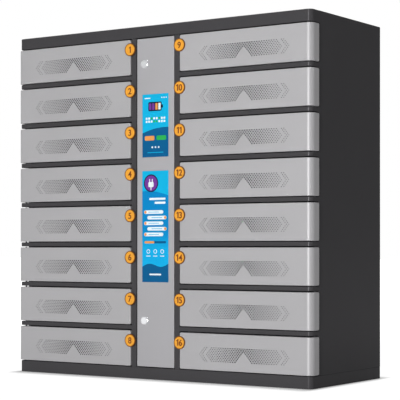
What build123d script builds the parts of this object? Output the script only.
from build123d import *

import os
from math import hypot, sqrt

# Laptop charging cabinet: two columns of locker bays with a service bay between them.
# It stands on Z = 0 and faces -Y. The origin is the middle of the carcass footprint.
# All sizes are millimetres.

# Carcass
carcass_width = 1090.0
carcass_depth = 425.0
cabinet_height = 1080.0
case_sheet = 1.2
frame_corner = 15.0
base_height = 36.0
header_height = 36.0
post_width = 18.5
rail_height = 14.0
side_return = 15.0
foot_flange = 20.0
shelf_flange = 12.0

# Locker doors
bay_rows = 8
door_sheet = 1.2
door_gap = 2.5
door_proud = 3.0
door_wrap = 40.0
door_flange = 18.0
door_corner = 4.0
hinge_gap = 4.0

# Vent band in each door: upright slots in a long hexagon with a peak cut out, and a chevron at each end
vent_length = 276.0
vent_height = 40.0
vent_point = 16.6
vent_drop = 7.0
vent_slots = 7
slot_pitch = 36.0
slot_width = 15.0
peak_width = 52.0
peak_height = 29.0
chevron_width = 9.0
chevron_gap = 9.0

# Hinge pins and their bores
pin_diameter = 6.0
pin_inset = 8.0
pin_setback = 30.0
pin_reach = 5.0
service_pin_diameter = 4.0
service_pin_inset = 3.6
running_clearance = 0.05
hinge_block = 20.0
pin_sides = 10
disc_sides = 20

# Latches and strikers
striker_sheet = 2.0
striker_height = 16.0
striker_window = 8.0
latch_setback = 50.0
latch_width = 14.0
latch_depth = 60.0
latch_height = 42.0
striker_entry = 14.0
latch_clearance = 1.5

# Number badges
badge_diameter = 40.0
badge_thickness = 4.0
badge_drop = 30.5

# Service door and what it carries
service_width = 138.0
display_width = 98.0
display_height = 192.0
display_drop = 171.5
display_depth = 14.0
display_rim = 8.0
glass_thickness = 2.0
glass_recess = 0.3
info_width = 98.0
info_height = 339.0
info_gap = 42.0
info_thickness = 0.8

# Cam locks
lock_inset = 29.0
lock_rise = 140.5
lock_drop = 78.5
rosette_diameter = 26.0
rosette_thickness = 2.5
barrel_diameter = 19.0
barrel_length = 20.0
nut_across = 24.0
nut_thickness = 4.0
plug_diameter = 12.0
keyway_width = 1.6
keyway_height = 6.0
keyway_depth = 6.0
cam_sheet = 2.0
cam_width = 14.0
cam_length = 36.0
cam_clearance = 3.0
cover_diameter = 24.0
cover_thickness = 1.4
cover_gap = 0.3
rivet_diameter = 3.0
rivet_head = 5.5
rivet_head_thickness = 1.0
rivet_offset = 9.2
ear_rim = 1.0

# Equipment
outlet_width = 20.0
outlet_depth = 58.0
outlet_height = 38.0
outlet_setback = 30.0
port_width = 9.2
port_height = 3.4
port_depth = 7.0
supply_width = 115.0
supply_depth = 215.0
supply_height = 50.0
board_sheet = 1.6
board_depth = 120.0
board_height = 170.0
board_standoff = 8.0
standoff_size = 6.0
chip_size = 34.0
chip_offset = 30.0
chip_height = 12.0
duct_width = 25.0
duct_depth = 30.0
inlet_width = 50.0
inlet_height = 28.0
inlet_depth = 24.0
inlet_flange = 2.0
inlet_pocket_width = 25.0
inlet_pocket_height = 17.0
inlet_pocket_depth = 16.0
inlet_rise = 54.0
supply_clearance = 10.0
louvre_width = 110.0
louvre_height = 6.0
louvre_pitch = 18.0
louvre_rows = 2
louvre_margin = 120.0

# Places worked out from the sizes above
half_width = carcass_width / 2
front = -carcass_depth / 2
back = carcass_depth / 2
face = front - door_proud
frame_depth = door_wrap + hinge_gap
frame_rear = front + frame_depth
header_bottom = cabinet_height - header_height
roof = cabinet_height - case_sheet
post_inner = service_width / 2 + door_gap
post_outer = post_inner + post_width
door_edge = post_outer + door_gap
door_side = half_width + door_proud
door_radius = frame_corner + door_proud
door_depth = door_wrap + door_proud
door_width = door_side - door_edge
opening_height = header_bottom - base_height
row_pitch = (opening_height + rail_height) / bay_rows
door_height = row_pitch - rail_height - 2 * door_gap
pin_x = door_side - pin_inset
pin_y = face + pin_setback
pin_bore = pin_diameter / 2 + running_clearance
pin_drop = door_gap + pin_reach
service_pin_x = service_width / 2 - service_pin_inset
service_pin_y = front + service_pin_inset
service_bore = service_pin_diameter / 2 + running_clearance
shelf_front = frame_rear + case_sheet
shelf_rear = back - 2 * case_sheet
side_inner = half_width - case_sheet
striker_x = door_edge + door_sheet
latch_front = front + latch_setback
service_low = base_height + door_gap
service_high = header_bottom - door_gap
lock_x = -service_width / 2 + lock_inset
lock_low = service_low + lock_rise
lock_high = service_high - lock_drop
display_centre = service_high - display_drop - display_height / 2
info_centre = display_centre - display_height / 2 - info_gap - info_height / 2
inlet_centre = base_height + inlet_rise
barrel_rear = front + door_sheet + barrel_length
bay_floors = [base_height + row * row_pitch for row in range(bay_rows)]
door_bottoms = [floor + door_gap for floor in bay_floors]

os.makedirs("parts", exist_ok=True)


def front_plane(x, y, z):
    """Plane that faces the viewer: its own x is X and its own y is Z."""
    return Plane(origin=(x, y, z), x_dir=(1, 0, 0), z_dir=(0, -1, 0))


def side_plane(x):
    """Plane that faces +X: its own x is Y and its own y is Z."""
    return Plane(origin=(x, 0, 0), x_dir=(0, 1, 0), z_dir=(1, 0, 0))


def save(part, name):
    """Label a finished piece and write its file."""
    part.label = name
    export_step(part, f"parts/{name}.step")
    print(name, len(part.solids()))


def span(low, high):
    """Centre and length of the stretch between two places."""
    return (low + high) / 2, high - low


def small_round(radius, sides=pin_sides, bore=False):
    """Round outline kept to a few flats, inside the circle, or outside it for a bore."""
    RegularPolygon(radius, sides, major_radius=not bore)


def box_between(x_span, y_span, z_span, mode=Mode.ADD):
    """Box between two places on each axis, in the open part."""
    centres, lengths = zip(span(*x_span), span(*y_span), span(*z_span))
    with Locations(centres):
        Box(*lengths, mode=mode)


# Plan outlines of the carcass, with its two front corners rounded


def carcass_plan(inset, rear):
    """Footprint from the front back to `rear`, set in by `inset`."""
    centre, depth = span(front + inset, rear)
    with BuildSketch() as outline:
        with Locations((0, centre)):
            Rectangle(carcass_width - 2 * inset, depth)
        fillet(outline.vertices().group_by(Axis.Y)[0], frame_corner - inset)
    return outline.sketch


outer_plan = carcass_plan(0, back)
inner_plan = carcass_plan(case_sheet, back - case_sheet)
header_plan = carcass_plan(0, frame_rear)
header_hollow = carcass_plan(case_sheet, frame_rear)
door_pins = [(-pin_x, pin_y), (pin_x, pin_y)]

# Base: a skirt with a deck on top and a flange that turns in to stand on the floor
with BuildPart() as base:
    with BuildSketch():
        add(outer_plan)
    extrude(amount=base_height)
    with BuildSketch(Plane.XY.offset(case_sheet)):
        add(inner_plan)
    extrude(amount=base_height - 2 * case_sheet, mode=Mode.SUBTRACT)
    with BuildSketch():
        Rectangle(carcass_width - 2 * foot_flange, carcass_depth - 2 * foot_flange)
    extrude(amount=case_sheet, mode=Mode.SUBTRACT)
    with BuildSketch(Plane.XY.offset(base_height)):
        with Locations(*door_pins):
            small_round(pin_bore, bore=True)
        with Locations((service_pin_x, service_pin_y)):
            small_round(service_bore, bore=True)
    extrude(amount=-case_sheet, mode=Mode.SUBTRACT)
save(base.part, "base")

# Top cover: the top sheet with the header folded down along the front and round its corners
with BuildPart() as top_cover:
    with BuildSketch(Plane.XY.offset(roof)):
        add(outer_plan)
    extrude(amount=case_sheet)
    with BuildSketch(Plane.XY.offset(header_bottom)):
        add(header_plan)
    extrude(amount=header_height)
    with BuildSketch(Plane.XY.offset(header_bottom + case_sheet)):
        add(header_hollow)
    extrude(amount=header_height - 2 * case_sheet, mode=Mode.SUBTRACT)
    with BuildSketch(Plane.XY.offset(header_bottom)):
        with Locations(*door_pins):
            small_round(pin_bore, bore=True)
        with Locations((service_pin_x, service_pin_y)):
            small_round(service_bore, bore=True)
    extrude(amount=case_sheet, mode=Mode.SUBTRACT)
save(top_cover.part, "top_cover")

# Centre posts: channels that open to the rear
post_x, _ = span(post_inner, post_outer)
post_y, _ = span(front, frame_rear)
with BuildPart() as centre_posts:
    with BuildSketch(Plane.XY.offset(base_height)):
        with Locations((-post_x, post_y), (post_x, post_y)):
            Rectangle(post_width, frame_depth)
        with Locations((-post_x, post_y + case_sheet), (post_x, post_y + case_sheet)):
            Rectangle(post_width - 2 * case_sheet, frame_depth, mode=Mode.SUBTRACT)
    extrude(amount=opening_height)
    strike_run = post_inner + lock_x
    cam_corner = hypot(cam_length, cam_width / 2)
    strike_rise = sqrt(cam_corner**2 - strike_run**2) + cam_clearance
    for lock_z in (lock_low, lock_high):
        box_between(
            (-post_inner - case_sheet, -post_inner),
            (barrel_rear - cam_clearance, barrel_rear + cam_sheet + cam_clearance),
            (lock_z - cam_width / 2 - cam_clearance, lock_z + strike_rise),
            mode=Mode.SUBTRACT,
        )
save(centre_posts.part, "centre_posts")

# Cross rails: folded boxes, open to the rear, with a block at the corner that holds the hinge pins
rail_x, rail_length = span(post_outer, half_width)
with BuildPart() as rail:
    with BuildSketch() as rail_plan:
        with Locations((rail_x, post_y)):
            Rectangle(rail_length, frame_depth)
        fillet(rail_plan.vertices().group_by(Axis.Y)[0].sort_by(Axis.X)[-1], frame_corner)
    extrude(amount=rail_height)
    box_between(
        (post_outer + case_sheet, half_width - hinge_block),
        (front + case_sheet, frame_rear),
        (case_sheet, rail_height - case_sheet),
        mode=Mode.SUBTRACT,
    )
    with BuildSketch():
        with Locations((pin_x, pin_y)):
            small_round(pin_bore, bore=True)
    extrude(amount=rail_height, mode=Mode.SUBTRACT)
rail_places = [(0, 0, floor - rail_height) for floor in bay_floors[1:]]
with BuildPart() as cross_rails:
    with Locations(*rail_places):
        add(rail.part)
    mirror(about=Plane.YZ)
save(cross_rails.part, "cross_rails")

# Side panels: flat sheets with a return at the front and one at the rear, inside the back panel
for name, hand in (("side_panel_left", -1), ("side_panel_right", 1)):
    with BuildPart() as side_panel:
        box_between((side_inner, half_width), (frame_rear, back), (base_height, roof))
        return_span = (half_width - side_return, half_width)
        box_between(return_span, (frame_rear, shelf_front), (base_height, roof))
        box_between(return_span, (shelf_rear, back - case_sheet), (base_height, roof))
        if hand < 0:
            mirror(about=Plane.YZ, mode=Mode.REPLACE)
    save(side_panel.part, name)

# Back panel: a sheet let in between the sides, with rows of vent slots behind the three bays
louvre_levels = (base_height + louvre_margin, header_bottom - louvre_margin)
louvre_places = [(x, z) for x in (-rail_x, 0, rail_x) for z in louvre_levels]
with BuildPart() as back_panel:
    box_between((-side_inner, side_inner), (back - case_sheet, back), (base_height, roof))
    with BuildSketch(front_plane(0, back, 0)):
        for louvre_x, louvre_z in louvre_places:
            with Locations((louvre_x, louvre_z)):
                with GridLocations(0, louvre_pitch, 1, louvre_rows):
                    Rectangle(louvre_width, louvre_height)
    extrude(amount=case_sheet, mode=Mode.SUBTRACT)
    with BuildSketch(front_plane(0, back, 0)):
        with Locations((0, inlet_centre)):
            Rectangle(inlet_width - 2 * inlet_flange, inlet_height - 2 * inlet_flange)
    extrude(amount=case_sheet, mode=Mode.SUBTRACT)
save(back_panel.part, "back_panel")

# Partitions between the bays and the service bay
with BuildPart() as partitions:
    wall = (post_outer - case_sheet, post_outer)
    box_between(wall, (frame_rear, back - case_sheet), (base_height, roof))
    mirror(about=Plane.YZ)
save(partitions.part, "partitions")

# Shelves: trays whose side flanges turn down beside the partition and the side panel
shelf_x, shelf_width = span(post_outer, side_inner)
shelf_y, shelf_depth = span(shelf_front, shelf_rear)
with BuildPart() as shelf:
    with BuildSketch(Plane.XZ.offset(-shelf_rear)):
        with Locations((shelf_x, -shelf_flange / 2)):
            Rectangle(shelf_width, shelf_flange)
        with Locations((shelf_x, -shelf_flange / 2 - case_sheet)):
            Rectangle(shelf_width - 2 * case_sheet, shelf_flange, mode=Mode.SUBTRACT)
    extrude(amount=shelf_depth)
for name, hand in (("shelves_left", -1), ("shelves_right", 1)):
    with BuildPart() as shelves:
        with Locations(*[(0, 0, floor) for floor in bay_floors[1:]]):
            add(shelf.part)
        if hand < 0:
            mirror(about=Plane.YZ, mode=Mode.REPLACE)
    save(shelves.part, name)

# Locker door: a folded pan that wraps round the corner, made for the right-hand column


def door_block(inset, reach):
    """L-shaped block behind the door's outer faces, set in by `inset`, `reach` past its flanges."""
    depth = door_flange + reach
    with BuildPart() as block:
        with BuildSketch(Plane.XY.offset(inset)) as plan:
            with Locations((door_edge + door_width / 2, face + door_depth / 2)):
                Rectangle(door_width - 2 * inset, door_depth - 2 * inset)
            corner = plan.vertices().group_by(Axis.Y)[0].sort_by(Axis.X)[-1]
            fillet(corner, door_radius - inset)
            with Locations((door_side - depth, face + depth)):
                Rectangle(door_width, door_depth, align=(Align.MAX, Align.MIN), mode=Mode.SUBTRACT)
        extrude(amount=door_height - 2 * inset)
        chamfer(block.edges().filter_by(Axis.Y).group_by(Axis.X)[0], door_corner - inset)
        chamfer(block.edges().filter_by(Axis.X).group_by(Axis.Y)[-1], door_corner - inset)
    return block.part


door_pan = door_block(0, 0)
door_hollow = door_block(door_sheet, 1.0)
vent_x = door_edge + door_width / 2
vent_z = door_height / 2 - vent_drop
band_points = [
    (-vent_length / 2, 0),
    (-vent_length / 2 + vent_point, vent_height / 2),
    (vent_length / 2 - vent_point, vent_height / 2),
    (vent_length / 2, 0),
    (vent_length / 2 - vent_point, -vent_height / 2),
    (peak_width / 2, -vent_height / 2),
    (0, peak_height - vent_height / 2),
    (-peak_width / 2, -vent_height / 2),
    (-vent_length / 2 + vent_point, -vent_height / 2),
]
chevron_inner = vent_length / 2 + chevron_gap
chevron_points = [
    (chevron_inner - vent_point, vent_height / 2),
    (chevron_inner - vent_point + chevron_width, vent_height / 2),
    (chevron_inner + chevron_width, 0),
    (chevron_inner - vent_point + chevron_width, -vent_height / 2),
    (chevron_inner - vent_point, -vent_height / 2),
    (chevron_inner, 0),
]
with BuildSketch() as band:
    with BuildLine():
        Polyline(*band_points, close=True)
    make_face()
with BuildSketch() as chevron:
    with BuildLine():
        Polyline(*chevron_points, close=True)
    make_face()

with BuildPart() as door:
    add(door_pan)
    add(door_hollow, mode=Mode.SUBTRACT)
    with BuildSketch(front_plane(vent_x, face, vent_z)):
        with GridLocations(slot_pitch, 0, vent_slots, 1):
            Rectangle(slot_width, vent_height)
        add(band.sketch, mode=Mode.INTERSECT)
        add(chevron.sketch)
        mirror(chevron.sketch, about=Plane.YZ)
    extrude(amount=-door_sheet, mode=Mode.SUBTRACT)
    with BuildSketch(Plane.XY.offset(door_height)):
        with Locations((pin_x, pin_y)):
            small_round(pin_diameter / 2)
    extrude(amount=pin_drop)
    with BuildSketch():
        with Locations((pin_x, pin_y)):
            small_round(pin_diameter / 2)
    extrude(amount=-pin_drop)
    striker_z = door_height / 2
    striker_tip = latch_front + striker_entry
    box_between(
        (striker_x, striker_x + striker_sheet),
        (face + door_flange / 2, striker_tip),
        (striker_z - striker_height / 2, striker_z + striker_height / 2),
    )
    window_y = striker_tip - striker_window
    with Locations((striker_x + striker_sheet / 2, window_y, striker_z)):
        Box(2 * striker_sheet, striker_window, striker_window, mode=Mode.SUBTRACT)

for number in range(1, 2 * bay_rows + 1):
    column, row = divmod(number - 1, bay_rows)
    with BuildPart() as numbered_door:
        with Locations((0, 0, door_bottoms[bay_rows - 1 - row])):
            add(door.part)
        if column == 0:
            mirror(about=Plane.YZ, mode=Mode.REPLACE)
    save(numbered_door.part, f"door_{number:02d}")

# Number badges: discs on the inner edge of each door
with BuildPart() as badge:
    with BuildSketch(front_plane(door_edge, face, door_height - badge_drop)):
        small_round(badge_diameter / 2, disc_sides)
    extrude(amount=badge_thickness)

for number in range(1, 2 * bay_rows + 1):
    column, row = divmod(number - 1, bay_rows)
    with BuildPart() as numbered_badge:
        with Locations((0, 0, door_bottoms[bay_rows - 1 - row])):
            add(badge.part)
        if column == 0:
            mirror(about=Plane.YZ, mode=Mode.REPLACE)
    save(numbered_badge.part, f"badge_{number:02d}")

# Electric latches: flat housings on the partitions, slotted where the strikers enter
with BuildPart() as latch:
    latch_z = door_gap + door_height / 2
    latch_half = latch_height / 2
    latch_span = (post_outer, post_outer + latch_width)
    latch_run = (latch_front, latch_front + latch_depth)
    box_between(latch_span, latch_run, (latch_z - latch_half, latch_z + latch_half))
    entry_half = striker_height / 2 + latch_clearance
    box_between(
        (striker_x - latch_clearance, striker_x + striker_sheet + latch_clearance),
        (latch_front, latch_front + striker_entry + 2 * latch_clearance),
        (latch_z - entry_half, latch_z + entry_half),
        mode=Mode.SUBTRACT,
    )
with BuildPart() as door_latches:
    with Locations(*[(0, 0, floor) for floor in bay_floors]):
        add(latch.part)
    mirror(about=Plane.YZ)
save(door_latches.part, "door_latches")

# Charging outlets: one block in each bay, at the rear of the partition, with a port that faces the door
with BuildPart() as outlet:
    outlet_rear = back - case_sheet - outlet_setback
    outlet_front = outlet_rear - outlet_depth
    outlet_x, _ = span(post_outer, post_outer + outlet_width)
    box_between(
        (post_outer, post_outer + outlet_width),
        (outlet_front, outlet_rear),
        (latch_z - outlet_height / 2, latch_z + outlet_height / 2),
    )
    with BuildSketch(front_plane(outlet_x, outlet_front, latch_z)):
        Rectangle(port_width, port_height)
    extrude(amount=-port_depth, mode=Mode.SUBTRACT)
with BuildPart() as charging_outlets:
    with Locations(*[(0, 0, floor) for floor in bay_floors]):
        add(outlet.part)
    mirror(about=Plane.YZ)
save(charging_outlets.part, "charging_outlets")

# Service door: a shallow pan, flush with the frame, with the display window and two lock holes
service_z, service_height = span(service_low, service_high)
with BuildPart() as service_door:
    with BuildSketch(front_plane(0, front, service_z)):
        Rectangle(service_width, service_height)
    extrude(amount=-door_flange)
    with BuildSketch(front_plane(0, front + door_sheet, service_z)):
        Rectangle(service_width - 2 * door_sheet, service_height - 2 * door_sheet)
    extrude(amount=-door_flange, mode=Mode.SUBTRACT)
    with BuildSketch(front_plane(0, front, 0)):
        with Locations((0, display_centre)):
            Rectangle(display_width, display_height)
        with Locations((lock_x, lock_low), (lock_x, lock_high)):
            small_round(barrel_diameter / 2, disc_sides)
    extrude(amount=-door_sheet, mode=Mode.SUBTRACT)
    with BuildSketch(Plane.XY.offset(service_high)):
        with Locations((service_pin_x, service_pin_y)):
            small_round(service_pin_diameter / 2)
    extrude(amount=pin_drop)
    with BuildSketch(Plane.XY.offset(service_low)):
        with Locations((service_pin_x, service_pin_y)):
            small_round(service_pin_diameter / 2)
    extrude(amount=-pin_drop)
save(service_door.part, "service_door")

# Display: glass let into the window, on a housing wider than the window, behind the door
glass_face = front + glass_recess
with BuildPart() as display_glass:
    with BuildSketch(front_plane(0, glass_face, display_centre)):
        Rectangle(display_width, display_height)
    extrude(amount=-glass_thickness)
save(display_glass.part, "display_glass")
glass_rear = glass_face + glass_thickness
with BuildPart() as display:
    with BuildSketch(front_plane(0, front + door_sheet, display_centre)):
        Rectangle(display_width + 2 * display_rim, display_height + 2 * display_rim)
    extrude(amount=-display_depth)
    with BuildSketch(front_plane(0, glass_rear, display_centre)):
        Rectangle(display_width, display_height)
    extrude(amount=glass_thickness, mode=Mode.SUBTRACT)
save(display.part, "display_module")

# Information panel: a thin plate on the door's face
with BuildPart() as info_panel:
    with BuildSketch(front_plane(0, front, info_centre)):
        Rectangle(info_width, info_height)
    extrude(amount=info_thickness)
save(info_panel.part, "info_panel")

# Cam locks: housing with its nut, turning plug, cam that turns behind the post, swinging dust cover
rosette_face = front - rosette_thickness
cover_back = rosette_face - cover_gap
cover_face = cover_back - cover_thickness
ear_radius = rivet_head / 2 + ear_rim
plug_length = rosette_thickness + door_sheet + barrel_length
with BuildPart() as lock_housings:
    for lock_z in (lock_low, lock_high):
        with BuildSketch(front_plane(lock_x, front, lock_z)):
            small_round(rosette_diameter / 2, disc_sides)
            with Locations((rivet_offset, rivet_offset)):
                small_round(ear_radius)
        extrude(amount=rosette_thickness)
        with BuildSketch(front_plane(lock_x, front, lock_z)):
            small_round(barrel_diameter / 2, disc_sides)
        extrude(amount=-door_sheet - barrel_length)
        with BuildSketch(front_plane(lock_x, front + door_sheet, lock_z)):
            RegularPolygon(nut_across / 2, 6, major_radius=False)
        extrude(amount=-nut_thickness)
        with BuildSketch(front_plane(lock_x, rosette_face, lock_z)):
            small_round(plug_diameter / 2 + running_clearance, disc_sides, bore=True)
        extrude(amount=-plug_length, mode=Mode.SUBTRACT)
        with BuildSketch(front_plane(lock_x + rivet_offset, rosette_face, lock_z + rivet_offset)):
            small_round(rivet_diameter / 2)
        extrude(amount=2 * cover_gap + cover_thickness)
        rivet_top = front_plane(lock_x + rivet_offset, cover_face - cover_gap, lock_z + rivet_offset)
        with BuildSketch(rivet_top):
            small_round(rivet_head / 2)
        extrude(amount=rivet_head_thickness)
save(lock_housings.part, "lock_housings")

for name, lock_z in (("low", lock_low), ("high", lock_high)):
    with BuildPart() as plug:
        with BuildSketch(front_plane(lock_x, rosette_face, lock_z)):
            small_round(plug_diameter / 2, disc_sides)
        extrude(amount=-plug_length)
        with BuildSketch(front_plane(lock_x, rosette_face, lock_z)):
            Rectangle(keyway_width, keyway_height)
        extrude(amount=-keyway_depth, mode=Mode.SUBTRACT)
    save(plug.part, f"lock_plug_{name}")
    with BuildPart() as cam:
        with BuildSketch(front_plane(lock_x, barrel_rear, lock_z)):
            small_round(cam_width / 2, disc_sides)
            with Locations((0, cam_length / 2)):
                Rectangle(cam_width, cam_length)
        extrude(amount=-cam_sheet)
    save(cam.part, f"lock_cam_{name}")
    with BuildPart() as cover:
        with BuildSketch(front_plane(lock_x, cover_back, lock_z)):
            small_round(cover_diameter / 2, disc_sides)
            with Locations((rivet_offset, rivet_offset)):
                small_round(ear_radius)
                bore_radius = rivet_diameter / 2 + running_clearance
                RegularPolygon(bore_radius, pin_sides, major_radius=False, mode=Mode.SUBTRACT)
        extrude(amount=cover_thickness)
    save(cover.part, f"lock_cover_{name}")

# Power supply on the base's deck, at the rear of the service bay
with BuildPart() as power_supply:
    supply_rear = back - case_sheet - inlet_depth - supply_clearance
    box_between(
        (-supply_width / 2, supply_width / 2),
        (supply_rear - supply_depth, supply_rear),
        (base_height, base_height + supply_height),
    )
save(power_supply.part, "power_supply")

# Control board on stand-offs from the left partition
service_wall = post_outer - case_sheet
with BuildPart() as control_board:
    board_x = -service_wall + board_standoff
    board_z = display_centre
    box_between(
        (board_x, board_x + board_sheet),
        (-board_depth / 2, board_depth / 2),
        (board_z - board_height / 2, board_z + board_height / 2),
    )
    with BuildSketch(side_plane(-service_wall)):
        with Locations((0, board_z)):
            with GridLocations(board_depth - 2 * standoff_size, board_height - 2 * standoff_size, 2, 2):
                Rectangle(standoff_size, standoff_size)
    extrude(amount=board_standoff)
    with BuildSketch(side_plane(board_x + board_sheet)):
        with Locations((-chip_offset, board_z + chip_offset), (chip_offset, board_z - chip_offset)):
            Rectangle(chip_size, chip_size)
    extrude(amount=chip_height)
save(control_board.part, "control_board")

# Wiring ducts up both partitions, in the service bay
with BuildPart() as wiring_ducts:
    duct_low = base_height
    duct_rear = back - case_sheet
    for hand in (-1, 1):
        duct_span = sorted((hand * (service_wall - duct_width), hand * service_wall))
        box_between(duct_span, (duct_rear - duct_depth, duct_rear), (duct_low, header_bottom))
save(wiring_ducts.part, "wiring_ducts")

# Mains inlet, snapped into the back panel
with BuildPart() as mains_inlet:
    with BuildSketch(front_plane(0, back, inlet_centre)):
        Rectangle(inlet_width, inlet_height)
    extrude(amount=-inlet_flange)
    with BuildSketch(front_plane(0, back, inlet_centre)):
        Rectangle(inlet_width - 2 * inlet_flange, inlet_height - 2 * inlet_flange)
    extrude(amount=inlet_depth)
    with BuildSketch(front_plane(0, back + inlet_flange, inlet_centre)):
        Rectangle(inlet_pocket_width, inlet_pocket_height)
    extrude(amount=inlet_pocket_depth, mode=Mode.SUBTRACT)
save(mains_inlet.part, "mains_inlet")
